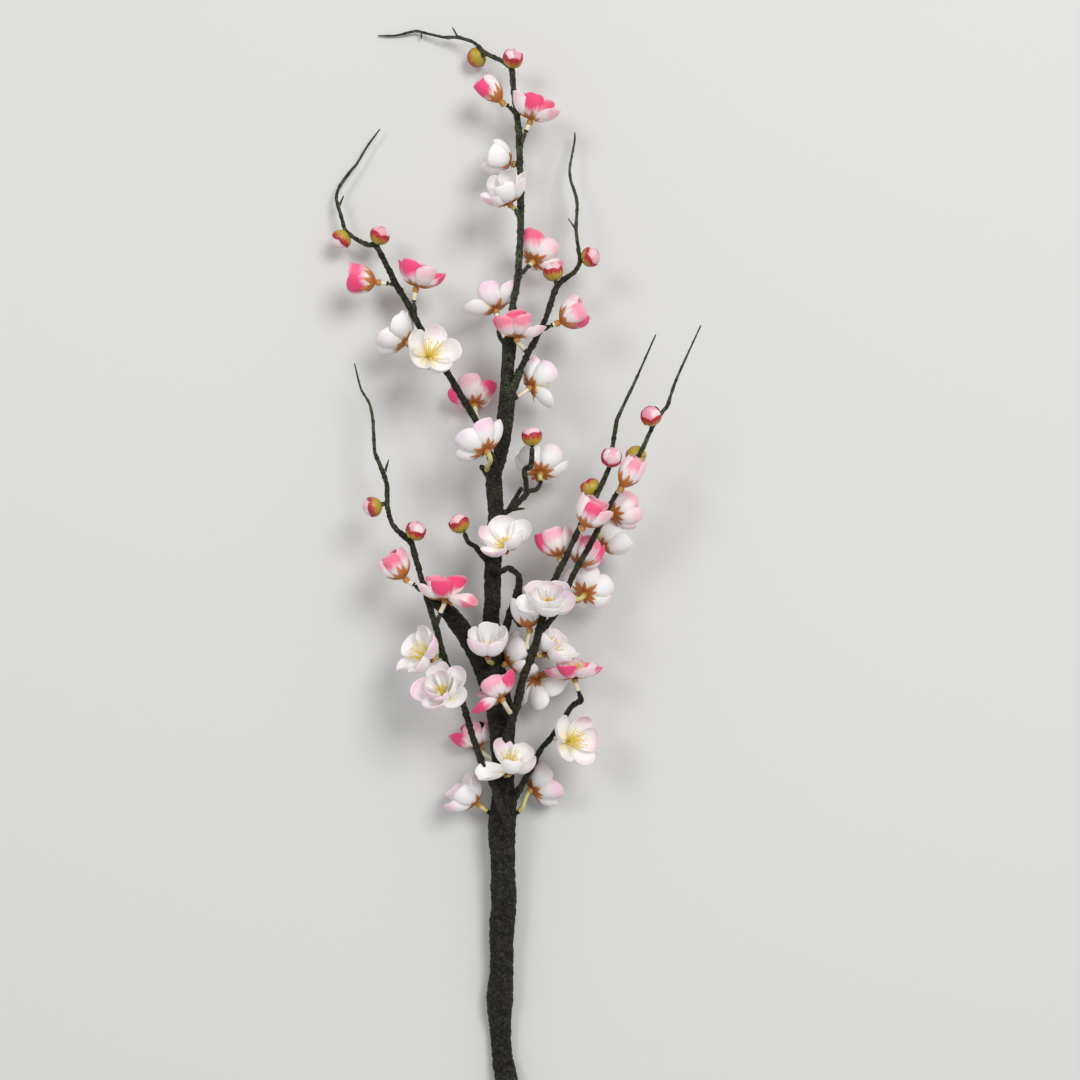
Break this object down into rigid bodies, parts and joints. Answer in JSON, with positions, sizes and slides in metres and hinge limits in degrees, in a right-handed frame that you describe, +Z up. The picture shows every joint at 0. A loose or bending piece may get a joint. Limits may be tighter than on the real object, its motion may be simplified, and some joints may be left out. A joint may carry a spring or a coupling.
{
  "type": "plum blossom branch",
  "caption": "Artificial plum blossom branch that lies flat: wrapped brown trunk, olive side sprays, and pink and white fabric blossoms and round buds on thin stalks.",
  "frame": {"origin": "centre of the bounding box's bottom, on the surface that the branch lies on", "axes": "+Y along the branch from the stem's lower end to its tips, +X to the right as it is looked down on, +Z up"},
  "size_m": [0.2687, 0.7981, 0.1006],
  "materials": {
    "wrapped_bark": "matt, wrinkled wrap",
    "olive_twig": "matt to satin",
    "pink_petals": "soft sheen",
    "white_petals": "soft sheen",
    "bud_sepals": "satin"
  },
  "bodies": {
    "root": {"bloom_01": "pink_petals", "bloom_02": "pink_petals", "bloom_03": "white_petals", "bloom_04": "white_petals", "bloom_05": "pink_petals", "bloom_06": "white_petals", "bloom_07": "pink_petals", "bloom_08": "pink_petals", "bloom_09": "pink_petals", "bloom_10": "white_petals", "bloom_11": "white_petals", "bloom_12": "pink_petals", "bloom_13": "white_petals", "bloom_14": "pink_petals", "bloom_15": "white_petals", "bloom_16": "white_petals", "bloom_17": "white_petals", "bloom_18": "pink_petals", "bloom_19": "pink_petals", "bloom_20": "white_petals", "bloom_21": "white_petals", "bloom_22": "white_petals", "bloom_23": "pink_petals", "bloom_24": "pink_petals", "bloom_25": "white_petals", "bloom_26": "white_petals", "bloom_27": "white_petals", "bloom_28": "pink_petals", "bloom_29": "white_petals", "bloom_30": "white_petals", "bloom_31": "white_petals", "bloom_32": "pink_petals", "bloom_33": "pink_petals", "bloom_34": "pink_petals", "bloom_35": "pink_petals", "bloom_36": "pink_petals", "bloom_37": "white_petals", "bloom_38": "white_petals", "bloom_39": "white_petals", "bloom_40": "white_petals", "bloom_41": "white_petals", "bud_01": "bud_sepals", "bud_02": "bud_sepals", "bud_03": "bud_sepals", "bud_04": "bud_sepals", "bud_05": "bud_sepals", "bud_06": "bud_sepals", "bud_07": "bud_sepals", "bud_08": "bud_sepals", "bud_09": "bud_sepals", "bud_10": "bud_sepals", "bud_11": "bud_sepals", "bud_12": "bud_sepals", "bud_13": "bud_sepals", "bud_14": "bud_sepals", "trunk": "wrapped_bark", "left_spray": "olive_twig", "crown_left_spray": "olive_twig", "crown_right_spray": "olive_twig", "right_spray": "olive_twig"}
  },
  "joints": []
}
